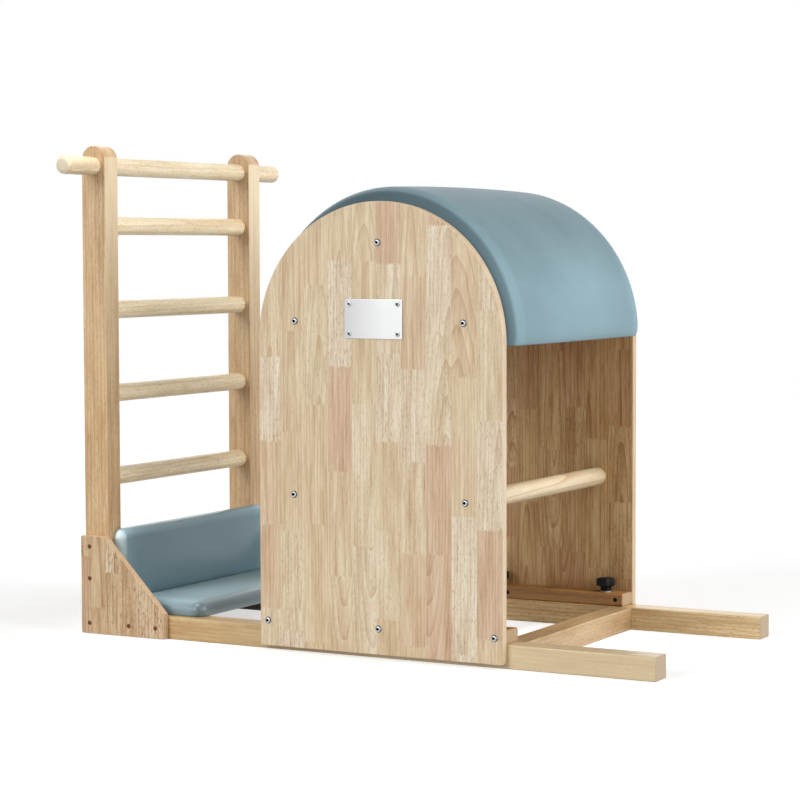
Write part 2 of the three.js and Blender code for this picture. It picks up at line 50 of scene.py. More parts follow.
# Camera: a long lens held at chest height, in front of the barrel and to its right.
# Its place and its angles were solved from the straight edges of the object in the photograph.
camera_place = (2.3664, -4.4614, 0.8031)
camera_turn, camera_dip, camera_roll = 28.517, 3.566, -0.153
lens = bpy.data.cameras.new("camera")
lens.sensor_width = 36
lens.lens = 110.07
camera = bpy.data.objects.new("camera", lens)
camera.matrix_world = (
    Matrix.Translation(camera_place)
    @ Matrix.Rotation(math.radians(camera_turn), 4, "Z")
    @ Matrix.Rotation(math.radians(90 - camera_dip), 4, "X")
    @ Matrix.Rotation(math.radians(camera_roll), 4, "Z")
)
bpy.context.scene.collection.objects.link(camera)
bpy.context.scene.camera = camera


# Base frame: two rails joined by two cross rails, planed from solid rubberwood and lacquered.
# Their long edges are eased by hand, and the cross rails are tenoned between the rails.
timber_corner = 3 * mm
timber_ease = 1.6 * mm
flat_margin = 0.8 * mm


def rounded(corners, radius, steps=5, margin=flat_margin):
    """Outline of an anticlockwise polygon with rounded corners, as points and outward normals.

    At a corner, the arc's centre lies inside by radius times the sum of the two sides' normals over one
    plus their product, and the arc turns from one normal to the next. A point a margin away on each
    straight side keeps the flat faces flat."""
    corners = np.asarray(corners, float)
    ahead = np.roll(corners, -1, 0) - corners
    ahead /= np.linalg.norm(ahead, axis=1)[:, None]
    behind = np.roll(ahead, 1, 0)
    before, after = (np.stack([side[:, 1], -side[:, 0]], 1) for side in (behind, ahead))
    start = np.arctan2(before[:, 1], before[:, 0])
    sweep = (np.arctan2(after[:, 1], after[:, 0]) - start) % (2 * np.pi)
    angle = start[:, None] + sweep[:, None] * np.linspace(0, 1, steps + 1)
    normals = np.stack([np.cos(angle), np.sin(angle)], -1)
    centres = corners - radius * (before + after) / (1 + (before * after).sum(1))[:, None]
    points = centres[:, None] + radius * normals
    first, last = points[:, :1] - margin * behind[:, None], points[:, -1:] + margin * ahead[:, None]
    points = np.concatenate([first, points, last], 1).reshape(-1, 2)
    normals = np.concatenate([normals[:, :1], normals, normals[:, -1:]], 1).reshape(-1, 2)
    return points, normals


def board(outline, low, high, ease, order, steps=5):
    """Rings of a board: its outline is carried across the thickness from low to high, and at both faces
    steps in along a quarter circle whose radius is ease. order says which of the outline's two
    coordinates and the height become x, y and z."""
    points, normals = outline
    turn = np.linspace(0, np.pi / 2, steps)
    inset = np.concatenate([[ease + flat_margin], ease * (1 - np.sin(turn)), [0]])
    rise = np.concatenate([[0], ease * (1 - np.cos(turn)), [ease + flat_margin]])
    height = np.concatenate([low + rise, high - rise[::-1]])
    inset = np.concatenate([inset, inset[::-1]])
    rings = points - inset[:, None, None] * normals
    height = np.broadcast_to(height[:, None, None], (*rings.shape[:2], 1))
    return np.concatenate([rings, height], -1)[..., order]


def skin(rings, closed=False):
    """Closed skin over a stack of rings: each point is joined to its neighbours in its own ring and in the
    next one. The two end rings are filled, or joined to each other where the stack is closed, and the
    faces are turned so that the volume inside is positive."""
    levels, count = rings.shape[:2]
    index = np.arange(levels * count).reshape(levels, count)
    lower, upper = (index, np.roll(index, -1, 0)) if closed else (index[:-1], index[1:])
    quads = np.stack([lower, np.roll(lower, -1, 1), np.roll(upper, -1, 1), upper], -1).reshape(-1, 4)
    ends = np.zeros((0, count), int) if closed else np.stack([index[0, ::-1], index[-1]])
    points = rings.reshape(-1, 3)
    near = points - points.mean(0)
    a, b, c, d = (near[quads[:, k]] for k in range(4))
    volume = (a * np.cross(b, c)).sum() + (a * np.cross(c, d)).sum()
    hub, rim = near[ends[:, :1]], near[ends]
    volume += (hub * np.cross(rim[:, 1:-1], rim[:, 2:])).sum()
    if volume < 0:
        quads, ends = quads[:, ::-1], ends[:, ::-1]
    return points, quads, ends


def piece(name, body, finish, skins, stands_for=(), sharp=38):
    """One mesh of closed skins that rides on a body, takes a finish and stands for CAD nodes.
    It is shaded smooth, except over edges sharper than the given angle."""
    starts = np.cumsum([0] + [len(points) for points, _, _ in skins])
    mesh = bpy.data.meshes.new(name)
    faces = []
    for start, (_, quads, ends) in zip(starts, skins):
        faces += (quads + start).tolist() + (ends + start).tolist()
    mesh.from_pydata(np.concatenate([points for points, _, _ in skins]).tolist(), [], faces)
    mesh.polygons.foreach_set("use_smooth", np.ones(len(mesh.polygons), bool))
    mesh.set_sharp_from_angle(angle=math.radians(sharp))
    mesh.materials.append(finish)
    made = bpy.data.objects.new(name, mesh)
    bpy.context.scene.collection.objects.link(made)
    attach(made, body)
    if stands_for:
        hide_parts(*stands_for)
    return made


def paint(code):
    """The linear colour of an sRGB hex code."""
    value = np.array([int(code[k:k + 2], 16) for k in (1, 3, 5)]) / 255
    return (*np.where(value <= 0.04045, value / 12.92, ((value + 0.055) / 1.055) ** 2.4), 1.0)


def add(finish, kind, inputs=None, stops=None, **settings):
    """Adds a node: its settings, then each input as a value or as a link from another node, which stands
    for the first of its outputs in use, or from one output. stops are a colour ramp's places and colours."""
    tree = finish.node_tree
    node = tree.nodes.new("ShaderNode" + kind)
    for name, value in settings.items():
        setattr(node, name, value)
    for name, value in (inputs or {}).items():
        if isinstance(value, bpy.types.Node):
            value = next(output for output in value.outputs if output.enabled)
        if isinstance(value, bpy.types.NodeSocket):
            tree.links.new(value, node.inputs[name])
        else:
            node.inputs[name].default_value = value
    if stops:
        ramp = node.color_ramp.elements
        while len(ramp) < len(stops):
            ramp.new(1)
        for stop, (place, code) in zip(ramp, stops):
            stop.position, stop.color = place, paint(code)
    return node


def new_finish(name):
    """An empty material, and the place of a point on its piece."""
    finish = bpy.data.materials.new(name)
    finish.use_nodes = True
    finish.node_tree.nodes.clear()
    return finish, add(finish, "TexCoord").outputs["Object"]


def surface(finish, **values):
    """Ends a finish in one principled surface. Each value is the same all over, or comes from a node."""
    shader = add(finish, "BsdfPrincipled", {name.replace("_", " "): value for name, value in values.items()})
    add(finish, "OutputMaterial", {"Surface": shader})
    return finish


# Rubberwood under satin lacquer: pale honey, with straight grain, short brown pore lines and wide growth
# rings that open into arches where a face cuts them at a low angle. Pores and ring lines are drawn about
# 2 mm wide, three times their real width, so that they show from the camera's distance.
ring_width = 8.5 * mm
wave_share = math.pi / 10  # the wave texture repeats every tenth of pi at scale 1
pore_width = 1.8 * mm
fibre_width = 2.6 * mm
tone_width = 18 * mm
pore_colour, ring_colour, painted_light_colour = "#8C603A", "#AE7F5A", "#F2E2C2"
lacquer_roughness = 0.42


def tones(*codes, places=(0.22, 0.44, 0.62, 0.84)):
    """Four colours of a wood, from its dark streaks to its pale ones, and their places on the ramp."""
    return tuple(zip(places, codes))


timber_tones = tones("#A78051", "#BF9C6F", "#CDAF84", "#DAC49D")


def figure(finish, grain, rings_at, stops, ring_depth, pore_depth):
    """Colour and height of a wood's figure.

    Three noises drawn out along the grain give the tone, the fibres and the pores, and a saw-toothed wave
    in the distance from the pith gives the growth rings, each ending in a thin darker line."""
    def drawn(along, width, detail, rough):
        stretched = add(finish, "VectorMath", {0: grain, 1: (1, 1, along)}, operation="MULTIPLY")
        return add(finish, "TexNoise", {"Vector": stretched, "Scale": 1 / width, "Detail": detail,
                                        "Roughness": rough})
    tone = drawn(0.10, tone_width, 2, 0.55)
    fibre = drawn(0.055, fibre_width, 4, 0.7)
    pore = drawn(0.17, pore_width, 1, 0.5)
    round_pith = add(finish, "VectorMath", {0: rings_at, 1: (1, 1, 0.07)}, operation="MULTIPLY")
    ring = add(finish, "TexWave", {"Vector": round_pith, "Scale": wave_share / ring_width, "Distortion": 2.6,
                                   "Detail": 2.0, "Detail Scale": 0.9, "Detail Roughness": 0.5},
               wave_type="RINGS", rings_direction="Z", wave_profile="SAW").outputs["Fac"]
    mixed = add(finish, "Math", {0: tone, 1: 0.75, 2: -0.21}, operation="MULTIPLY_ADD")
    mixed = add(finish, "Math", {0: fibre, 1: 0.85, 2: mixed}, operation="MULTIPLY_ADD")
    mixed = add(finish, "Math", {0: ring, 1: -0.12, 2: mixed}, operation="MULTIPLY_ADD")
    colour = add(finish, "ValToRGB", {"Fac": mixed}, stops=stops)
    line = add(finish, "MapRange", {"Value": ring, "From Min": 0.70, "From Max": 0.95, "To Max": ring_depth})
    line = add(finish, "Math", {0: line, 1: fibre}, operation="MULTIPLY")
    colour = add(finish, "Mix", {"Factor": line, "A": colour, "B": paint(ring_colour)}, data_type="RGBA")
    share = add(finish, "MapRange", {"Value": pore, "From Min": 0.57, "From Max": 0.71, "To Max": pore_depth})
    colour = add(finish, "Mix", {"Factor": share, "A": colour, "B": paint(pore_colour)}, data_type="RGBA")
    height = add(finish, "Math", {0: share, 1: -1.0, 2: fibre}, operation="MULTIPLY_ADD")
    return colour, height, fibre


def lacquered(finish, colour, height, fibre):
    """Satin lacquer over the figure: the fibres show through as a faint change of gloss and of height."""
    sheen = add(finish, "MapRange", {"Value": fibre, "To Min": lacquer_roughness - 0.06,
                                     "To Max": lacquer_roughness + 0.1})
    bump = add(finish, "Bump", {"Height": height, "Strength": 0.22, "Distance": 0.25 * mm})
    return surface(finish, Base_Color=colour, Roughness=sheen, Normal=bump, Coat_Weight=0.18,
                   Coat_Roughness=0.3)


along_x, along_y, along_z = (0, math.pi / 2, 0), (-math.pi / 2, 0, 0), (0, 0, 0)


def rubberwood(name, centre, turn, pith=(38, 24), tilt=(0.6, 0.4), stops=timber_tones, depths=(0.8, 0.65),
               pale=None, half_length=None, end_colour="#A58E76"):
    """Solid rubberwood whose grain runs along one axis. The pith lies beside the piece by so many
    millimetres, and leans by so many degrees, so that the rings cross each face in their own way. depths
    are those of the ring lines and of the pores. A pale band, where given, is painted light on one side: it
    gives where across the piece the paler colour starts, between which places along it that colour comes
    in, and how far. Where half_length is given, the cut ends have their own colour."""
    finish, place = new_finish("rubberwood " + name)
    lean = (turn[0] + math.radians(tilt[0]), turn[1] + math.radians(tilt[1]), turn[2])
    grain = add(finish, "Mapping", {"Vector": place, "Location": centre, "Rotation": lean},
                vector_type="TEXTURE")
    beside = add(finish, "VectorMath", {0: grain, 1: (pith[0] * mm, pith[1] * mm, 0)})
    colour, height, fibre = figure(finish, grain, beside, stops, *depths)
    x, _, z = add(finish, "SeparateXYZ", {0: grain}).outputs
    if pale:
        start, low, high, depth = pale
        share = add(finish, "MapRange", {"Value": x, "From Min": start - 1 * mm, "From Max": start,
                                         "To Max": depth})
        along = add(finish, "MapRange", {"Value": z, "From Min": low, "From Max": high})
        share = add(finish, "Math", {0: share, 1: along}, operation="MULTIPLY")
        colour = add(finish, "Mix", {"Factor": share, "A": colour, "B": paint(painted_light_colour)},
                     data_type="RGBA")
    if half_length:
        away = add(finish, "Math", {0: z}, operation="ABSOLUTE")
        share = add(finish, "MapRange", {"Value": away, "From Min": half_length - 1.2 * mm,
                                         "From Max": half_length - 0.5 * mm, "To Max": 0.8})
        colour = add(finish, "Mix", {"Factor": share, "A": colour, "B": paint(end_colour)}, data_type="RGBA")
    return lacquered(finish, colour, height, fibre)


def cad_box(node):
    """The lowest and highest corner of a CAD node, and its middle."""
    low, high = (np.array(corner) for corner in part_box(node))
    return low, high, (low + high) / 2


def rectangle(low, high):
    return [(low[0], low[1]), (high[0], low[1]), (high[0], high[1]), (low[0], high[1])]


near_tones = tones("#A68356", "#B99867", "#C3A776", "#CCB489")
far_tones = tones("#B7915A", "#D3AE77", "#E2C48E", "#EFD8A9")
# The pale band on each rail is painted light: a paler colour over part of its length.
for name, pith, stops, depths, pale in (("right_rail", (52, 21), near_tones, (0.5, 0.3), (-1, -0.3, 0.1, 0.41)),
                                        ("left_rail", (-44, 30), far_tones, (0.9, 0.5), (-1, 0.25, 0.45, 0.1))):
    low, high, middle = cad_box(name)
    section = rounded(rectangle(low[1:], high[1:]), timber_corner)
    piece(name + "_planed", "base",
          rubberwood(name, middle, along_x, pith, (0.3, 0.5), stops, depths, pale, high[0] - middle[0]),
          [skin(board(section, low[0], high[0], timber_ease, [2, 0, 1]))], [name])

rail_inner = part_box("left_rail")[0].y
cross_tones = tones("#937046", "#A98A61", "#B59A73", "#C1AC8A")
for name, pith in (("front_cross_rail", (-30, 42)), ("rear_cross_rail", (47, 18))):
    low, high, middle = cad_box(name)
    section = rounded(rectangle(low[[0, 2]], high[[0, 2]]), timber_corner)
    piece(name + "_planed", "base", rubberwood(name, middle, along_y, pith, (0.4, 0.2), cross_tones),
          [skin(board(section, -rail_inner, rail_inner, timber_ease, [0, 2, 1]))], [name])


# Threaded inserts in the rails: brass-coloured zinc sleeves screwed flush into the rail's top, seen as a
# thin ring at the bottom of each slot. They are turned, so their gloss is even.
# The grit of the plating is drawn about 1 mm wide, far coarser than it is, so that it shows close up.
def plated_steel(name, code, grit_width, smooth, rough):
    """Plated or blackened steel: one colour, and a gloss that a fine grit varies between two roughnesses."""
    finish, place = new_finish(name)
    grit = add(finish, "TexNoise", {"Vector": place, "Scale": 1 / grit_width, "Detail": 2.0})
    gloss = add(finish, "MapRange", {"Value": grit, "To Min": smooth, "To Max": rough})
    return surface(finish, Base_Color=paint(code), Metallic=1.0, Roughness=gloss)


def dress(node, finish):
    """A CAD node that stays takes a finish in its own slots."""
    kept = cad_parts[node]
    kept.data.materials.clear()
    kept.data.materials.append(finish)


insert_steel = plated_steel("zinc plated steel insert", "#B9B5A6", 1.111 * mm, 0.25, 0.45)
for end in ("front", "rear"):
    for side in ("right", "left"):
        dress(f"rail_insert_{end}_{side}", insert_steel)


# Ladder uprights: two planed timbers with half-round tops, tenoned into the rails.
# The top handle passes through both, and four rungs are glued into blind holes between them.
upright_ease = 2 * mm


def arch(left, right, foot, top, corner, steps=96):
    """Outline of a board with a half-round top: two rounded bottom corners, two straight sides, and a half
    circle as wide as the board."""
    half = (right - left) / 2
    points, normals = rounded(rectangle((left, foot), (right, top)), corner)
    count = len(points) // 2
    angle = np.linspace(0, np.pi, steps + 1)
    radial = np.stack([np.cos(angle), np.sin(angle)], 1)
    centre = np.array([left + half, top - half])
    margin = np.array([[0, -flat_margin]])
    points = np.concatenate([points[:count], centre + half * radial[:1] + margin, centre + half * radial,
                             centre + half * radial[-1:] + margin])
    return points, np.concatenate([normals[:count], radial[:1], radial, radial[-1:]])


rail_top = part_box("left_rail")[1].z
# The pale band on each upright is painted light: the face towards the barrel is paler near the top and fades
# out lower down, where the barrel shades it.
for name, pith, share in (("right_upright", (-36, 33), 0.50), ("left_upright", (41, -26), 0.68)):
    low, high, middle = cad_box(name)
    outline = arch(low[0], high[0], rail_top + 0.3 * mm, high[2], timber_corner, 40)
    piece(name + "_planed", "base",
          rubberwood(name, middle, along_z, pith, (0.2, 0), depths=(0.9, 0.42),
                     pale=(28.9 * mm, 0.02, 0.40, share)),
          [skin(board(outline, low[1], high[1], upright_ease, [0, 2, 1]))], [name])


# Handle and rungs: 38 mm round bars turned from the same wood, their grain along the bar.
# The handle stands out on both sides, and its ends are rounded over.
def turned(profile, centre, order, count=56, shape=None):
    """Rings of a turned piece: a profile of radius, height and how much of a shape is worked into it. The
    shape gives a share of the radius for each angle. order says which coordinates become x, y and z."""
    profile = np.asarray(profile, float)
    angle = np.linspace(0, 2 * np.pi, count, endpoint=False)
    share = np.ones((len(profile), count))
    if shape is not None:
        share += profile[:, 2:3] * (shape(angle) - 1)
    radius = profile[:, :1] * share
    height = np.broadcast_to(profile[:, 1:2], radius.shape)
    rings = np.stack([radius * np.cos(angle), radius * np.sin(angle), height], -1)
    return rings[..., order] + np.asarray(centre, float)


def bar_profile(radius, half, rounding, steps=8):
    """Half a bar's length to each side, each end rounded over by a quarter circle down to a small flat."""
    turn = np.linspace(0, np.pi / 2, steps)
    flat = radius - rounding
    end = np.stack([flat + rounding * np.sin(turn), -half + rounding * (1 - np.cos(turn))], 1)
    end = np.concatenate([[[flat * 0.5, -half]], end, [[radius, -half + rounding + flat_margin]]])
    return np.concatenate([end, end[::-1] * [1, -1]])


bar_radius = 19 * mm
# The rungs' tones are paler than the handle's: painted light on the rungs, which sit behind the barrel.
rung_tones = tones("#DCC196", "#F0DAB0", "#FAE7C3", "#FFF3DA")
handle_tones = tones("#CFB58D", "#E1CCA6", "#EBDABA", "#F4EAD5")
handle_rounding, rung_rounding = 9 * mm, 1 * mm
low, high, middle = cad_box("top_handle")
piece("top_handle_turned", "base",
      rubberwood("top handle", middle, along_y, (14, 12), (0.9, 0.3), handle_tones, (0.4, 0.35),
                 half_length=high[1], end_colour="#CFC4AE"),
      [skin(turned(bar_profile(bar_radius, high[1], handle_rounding), middle, [0, 2, 1]))], ["top_handle"])
for number, pith in ((1, (20, -9)), (2, (-12, 17)), (3, (9, 22)), (4, (-18, -13))):
    low, high, middle = cad_box(f"rung_{number}")
    own_figure = (middle[0], 0.31 * number, middle[2])
    piece(f"rung_{number}_turned", "base",
          rubberwood(f"rung {number}", own_figure, along_y, pith, (0.7, -0.5), rung_tones, (0.4, 0.35)),
          [skin(turned(bar_profile(bar_radius, high[1], rung_rounding), middle, [0, 2, 1]))],
          [f"rung_{number}"])


# Gussets: boards of laminated rubberwood with a sloping front, screwed to the outside of each upright
# and rail. The laminated board is glued up from narrow staves, each finger-jointed end to end.
finger_length, finger_pitch = 5 * mm, 6 * mm
stave_tones = tones("#CBAF97", "#E4D5C5", "#F4ECE2", "#FFFFFF", places=(0.20, 0.42, 0.60, 0.80))
bold_tones = tones("#A98A70", "#D8C3AE", "#F2E8DC", "#FFFFFF", places=(0.22, 0.42, 0.58, 0.78))
stave_casts = ((0.0, "#DEC5AD"), (0.14, "#E1CDB1"), (0.28, "#E5D5B7"), (0.55, "#E8DBBE"), (0.80, "#EBE0C7"),
               (1.0, "#F0E8D6"))
knot_colour, knot_spacing = "#7E5230", 111.1 * mm


def laminate(name, centre, seed, half_thickness, shade, edge_colour, depths, stops, stave_width, stave_offset):
    """Laminated rubberwood: staves side by side along x, each cut into lengths along z.

    The stave is the whole part of x over its width. The length's number is the whole part of z, plus a
    zigzag across the joint, over that stave's own piece length. Both pick a random tone and a random
    pith, so no two pieces share their figure. Within half the thickness lie only the board's edges,
    which have their own colour: a painted tone, darker than the faces, for how the rounded edges are lit."""
    finish, place = new_finish("laminated rubberwood " + name)
    local = add(finish, "Mapping", {"Vector": place, "Location": centre}, vector_type="TEXTURE")
    x, y, z = add(finish, "SeparateXYZ", {0: local}).outputs
    across = add(finish, "Math", {0: x, 1: 1 / stave_width, 2: 40 + stave_offset}, operation="MULTIPLY_ADD")
    stave = add(finish, "Math", {0: across}, operation="FLOOR")
    offset = add(finish, "Math", {0: across, 1: stave}, operation="SUBTRACT")
    own = add(finish, "TexWhiteNoise", {"W": add(finish, "Math", {0: stave, 1: seed})}, noise_dimensions="1D")
    finger = add(finish, "Math", {0: x, 1: finger_pitch / 2}, operation="PINGPONG")
    joint = add(finish, "Math", {0: finger, 1: 2 * finger_length / finger_pitch, 2: z},
                operation="MULTIPLY_ADD")
    length = add(finish, "MapRange", {"Value": own, "To Min": 0.14, "To Max": 0.31})
    share = add(finish, "Math", {0: joint, 1: length}, operation="DIVIDE")
    share = add(finish, "Math", {0: own, 1: 31.7, 2: share}, operation="MULTIPLY_ADD")
    number = add(finish, "Math", {0: share}, operation="FLOOR")
    key = add(finish, "CombineXYZ", {0: stave, 1: number, 2: seed})
    picked = add(finish, "TexWhiteNoise", {"Vector": key}, noise_dimensions="3D")
    one, two, three = add(finish, "SeparateXYZ", {0: picked.outputs["Color"]}).outputs
    # where the pith of this length of stave lies, and how it leans
    pith_x = add(finish, "Math", {0: add(finish, "Math", {0: offset, 1: one}, operation="SUBTRACT"),
                                  1: 1.25 * stave_width}, operation="MULTIPLY")
    lean = add(finish, "MapRange", {"Value": three, "From Min": 0.75, "To Min": 0.01, "To Max": 0.14})
    depth = add(finish, "Math", {0: z, 1: lean, 2: y}, operation="MULTIPLY_ADD")
    pith_y = add(finish, "Math", {0: two, 1: 0.07, 2: depth}, operation="MULTIPLY_ADD")
    rings_at = add(finish, "CombineXYZ", {0: pith_x, 1: pith_y, 2: z})
    moved = add(finish, "VectorMath", {0: picked.outputs["Color"], 1: (3, 3, 3), 2: local},
                operation="MULTIPLY_ADD")
    pores = add(finish, "MapRange", {"Value": one, "From Min": 0.4, "To Min": 0.4 * depths[1],
                                     "To Max": 1.8 * depths[1]})
    colour, height, fibre = figure(finish, moved, rings_at, stops, depths[0], pores)
    # each length has its own cast: pinkish heartwood, yellowish, tan or creamy sapwood
    cast = add(finish, "ValToRGB", {"Fac": picked}, stops=stave_casts)
    for tint in (cast, paint(shade)):
        colour = add(finish, "Mix", {"Factor": 1.0, "A": colour, "B": tint}, data_type="RGBA",
                     blend_type="MULTIPLY")
    # a few pin knots, longer along the grain
    spots_at = add(finish, "VectorMath", {0: local, 1: (1, 0.2, 0.55)}, operation="MULTIPLY")
    spots = add(finish, "TexVoronoi", {"Vector": spots_at, "Scale": 1 / knot_spacing})
    rare = add(finish, "SeparateXYZ", {0: spots.outputs["Color"]})
    reach = add(finish, "MapRange", {"Value": rare, "From Min": 0.55, "To Max": 0.055})
    close = add(finish, "Math", {0: reach, 1: spots}, operation="SUBTRACT")
    knot = add(finish, "MapRange", {"Value": close, "From Max": 0.02, "To Max": 0.75})
    colour = add(finish, "Mix", {"Factor": knot, "A": colour, "B": paint(knot_colour)}, data_type="RGBA")
    away = add(finish, "Math", {0: y}, operation="ABSOLUTE")
    edge = add(finish, "MapRange", {"Value": away, "From Min": half_thickness - 0.1 * mm,
                                    "From Max": half_thickness - 0.6 * mm, "To Max": 0.6})
    colour = add(finish, "Mix", {"Factor": edge, "A": colour, "B": paint(edge_colour)}, data_type="RGBA")
    return lacquered(finish, colour, height, fibre)


gusset_top, gusset_nose = 59 * mm, 52 * mm
for name, seed in (("right_gusset", 3.0), ("left_gusset", 8.0)):
    low, high, middle = cad_box(name)
    corners = [(low[0], low[2]), (high[0], low[2]), (high[0], low[2] + gusset_nose),
               (low[0] + gusset_top, high[2]), (low[0], high[2])]
    piece(name + "_board", "base",
          laminate(name, middle, seed, high[1] - middle[1], "#E6DCCF", "#C9A781", (0.8, 0.55), bold_tones,
                   36.5 * mm, 0.145),
          [skin(board(rounded(corners, 3 * mm), low[1], high[1], 1.5 * mm, [0, 2, 1]))], [name])


# Gusset screws: five bronze-coated wood screws in each gusset, with cross-recessed heads.
# The coating is dark brown and half glossy, brighter where a driver has turned in the recess.
# The wear is drawn 1.4 mm wide.
bronze, place = new_finish("bronze coated screw steel")
wear = add(bronze, "TexNoise", {"Vector": place, "Scale": 1 / (1.429 * mm), "Detail": 3.0})
tint = add(bronze, "ValToRGB", {"Fac": wear}, stops=((0.35, "#3E2C1D"), (0.7, "#806044")))
gloss = add(bronze, "MapRange", {"Value": wear, "To Min": 0.28, "To Max": 0.5})
surface(bronze, Base_Color=tint, Metallic=1.0, Roughness=gloss)


def cross_recess(half_width):
    """Share of the radius for each angle of a cross with arms that reach 1 and are half_width wide."""
    def share(angle):
        wide, narrow = np.sort(np.abs([np.cos(angle), np.sin(angle)]), 0)[::-1]
        return np.minimum(1 / wide, half_width / np.maximum(narrow, 1e-6))
    return share


def screw_head(radius, dome, recess, depth, rim=0.3 * mm):
    """Profile of a domed head with a cross recess: up the rim, over the dome, and down into the recess."""
    turn = np.linspace(0, 1, 7)
    edge = recess * 1.08
    over = np.stack([radius + (edge - radius) * turn, rim + (dome - rim) * np.sin(turn * np.pi / 2),
                     0 * turn], 1)
    return np.concatenate([[[radius * 0.5, -1 * mm, 0], [radius, -1 * mm, 0]], over,
                           [[recess, dome, 1], [recess * 0.96, dome - 0.1 * mm, 1],
                            [recess * 0.7, dome - depth, 1], [recess * 0.1, dome - depth, 1]]])


gusset_screws = ((22, 182), (22, 115.5), (20.5, 22), (119, 22), (185, 22))
head = screw_head(4.8 * mm, 1.0 * mm, 2.6 * mm, 0.95 * mm)
for side, sign in (("right", -1), ("left", 1)):
    low, high, middle = cad_box(side + "_gusset")
    outer = low[1] if sign < 0 else high[1]
    skins = [skin(turned(head * [1, sign, 1], (low[0] + x * mm, outer, low[2] + z * mm), [0, 2, 1], 48,
                         cross_recess(0.24))) for x, z in gusset_screws]
    piece(side + "_gusset_screws", "base", bronze, skins)


# Seat and back pad: each is a plywood board under firm foam, in one cover of blue-grey leather cloth.
# The cover is pulled round the board and stapled, so the edges are rolled and the sides draw in.
ply_width = 1.6 * mm
veneer_grain = np.array([3.333, 40, 8.333]) * mm


def plywood(name, across):
    """Plywood: thin sheets of veneer, seen as light and dark lines on an edge and as plain grain on a face.
    across gives the height through the sheets from a point's coordinates."""
    finish, place = new_finish("plywood " + name)
    height = across(finish, place)
    layer = add(finish, "Math", {0: height, 1: ply_width}, operation="PINGPONG")
    layer = add(finish, "MapRange", {"Value": layer, "From Max": ply_width})
    drawn = add(finish, "VectorMath", {0: place, 1: 1 / veneer_grain}, operation="MULTIPLY")
    grain = add(finish, "TexNoise", {"Vector": drawn, "Scale": 1.0, "Detail": 3.0})
    mixed = add(finish, "Math", {0: layer, 1: 0.25, 2: grain}, operation="MULTIPLY_ADD")
    stops = tones("#A98456", "#C6A577", "#DBC197", places=(0.3, 0.55, 0.85))
    colour = add(finish, "ValToRGB", {"Fac": mixed}, stops=stops)
    bump = add(finish, "Bump", {"Height": grain, "Strength": 0.3, "Distance": 0.2 * mm})
    return surface(finish, Base_Color=colour, Normal=bump, Roughness=0.62)


def one_axis(axis):
    return lambda finish, place: add(finish, "SeparateXYZ", {0: place}).outputs[axis]


dress("seat_board", plywood("seat board", one_axis(2)))
dress("back_board", plywood("back board", one_axis(0)))

# Leather cloth: polyurethane skin on a knitted back, embossed with a fine pebble grain and slightly
# satin. The pebbles are drawn 1.6 mm apart, coarser than the real 0.7 mm, so that they show close up.
pebble_width, crease_width, cloud_width = 1.6 * mm, 3.846 * mm, 142.9 * mm


def leather_cloth(name, colours, gloss_level, roughness, band):
    """Blue-grey leather cloth, with its own gloss and colours. band gives a painted light and shade to multiply
    by at a point's place.
    """
    finish, place = new_finish("leather cloth, blue-grey, over " + name)
    cloud = add(finish, "TexNoise", {"Vector": place, "Scale": 1 / cloud_width, "Detail": 2.0})
    pebbles = add(finish, "TexVoronoi", {"Vector": place, "Scale": 1 / pebble_width},
                  feature="DISTANCE_TO_EDGE")
    crease = add(finish, "TexNoise", {"Vector": place, "Scale": 1 / crease_width, "Detail": 3.0})
    colour = add(finish, "ValToRGB", {"Fac": cloud}, stops=colours)
    colour = add(finish, "Mix", {"Factor": 1.0, "A": colour, "B": band(finish, place)}, data_type="RGBA",
                 blend_type="MULTIPLY")
    relief = add(finish, "Math", {0: crease, 1: 0.5, 2: pebbles}, operation="MULTIPLY_ADD")
    bump = add(finish, "Bump", {"Height": relief, "Strength": 0.10, "Distance": 0.25 * mm})
    gloss = add(finish, "MapRange", {"Value": crease, "To Min": roughness - 0.05, "To Max": roughness + 0.05})
    return surface(finish, Base_Color=colour, Normal=bump, Roughness=gloss, Specular_IOR_Level=gloss_level)


def stretched(*bands):
    """Painted light and shade on a pad's cover: paler bands paint highlights along its rolled edges, and
    darker ones paint shade down the seat's front. Each band runs through its colours along one axis, from one
    distance from the middle to another."""
    def colour(finish, place):
        product = None
        for axis, start, end, stops in bands:
            away = add(finish, "Math", {0: one_axis(axis)(finish, place)}, operation="ABSOLUTE")
            share = add(finish, "MapRange", {"Value": away, "From Min": start, "From Max": end})
            tint = add(finish, "ValToRGB", {"Fac": share}, stops=stops)
            product = tint if product is None else add(finish, "VectorMath", {0: product, 1: tint},
                                                       operation="MULTIPLY")
        return product
    return colour


pad_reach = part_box("seat_cushion")[1].y
seat_front = -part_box("seat_cushion")[1].x
back_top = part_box("back_cushion")[1].z
# Each pad's cloth colours and bands are painted light and shade: the seat and back take lighter colours than
# the barrel, as lit copies of the one leather, and the bands paint highlights on the near ends' rolls and the
# back's top roll, and shade down the seat's front.
seat_leather = leather_cloth("the seat", ((0.30, "#98B3BB"), (0.70, "#A1BCC4")), 0.6, 0.36, stretched(
    (1, pad_reach - 60 * mm, pad_reach, ((0.1, "#E4E4E4"), (0.70, "#FFFFFF"), (0.96, "#C4C6C8"))),
    (0, seat_front + 32 * mm, seat_front, ((0.05, "#FFFFFF"), (0.65, "#B4B4B4")))))
back_leather = leather_cloth("the back", ((0.30, "#EDFAFF"), (0.70, "#F2FFFF")), 0.7, 0.30, stretched(
    (1, pad_reach - 60 * mm, pad_reach, ((0.1, "#8CA8B3"), (0.72, "#A2BCC6"), (0.95, "#FAFFFF"))),
    (2, back_top - 24 * mm, back_top, ((0.1, "#C7CBCC"), (0.8, "#FFFFFF")))))
cushion_corner, cushion_roll = 22 * mm, 19 * mm
cushion_crown, cushion_draw = 2.5 * mm, 1.5 * mm
cover_wrap, cover_thickness = 8 * mm, 0.8 * mm


